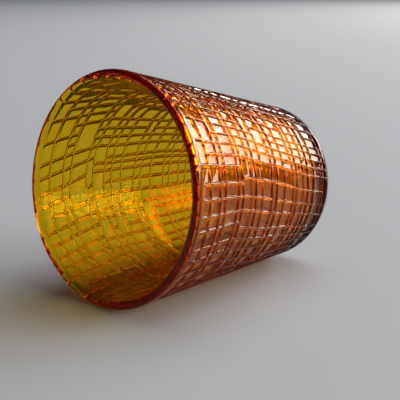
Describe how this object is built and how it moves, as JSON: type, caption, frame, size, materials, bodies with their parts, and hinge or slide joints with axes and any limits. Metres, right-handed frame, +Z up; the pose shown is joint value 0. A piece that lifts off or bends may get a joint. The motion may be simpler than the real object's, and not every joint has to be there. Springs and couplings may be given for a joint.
{
  "type": "tealight holder",
  "caption": "Tapered pressed-glass tealight cup in amber, with a raised lattice of ribs outside, a smooth inside and a rounded rim",
  "frame": {"origin": "centre of the base, on the plane that the cup stands on", "axes": "+Z up the cup's axis from the base to the mouth; the cup is round, so X and Y are any two directions across it"},
  "size_m": [0.075, 0.075, 0.086],
  "materials": {
    "amber_glass": "gloss"
  },
  "bodies": {
    "root": {"glass_cup": "amber_glass"}
  },
  "joints": []
}
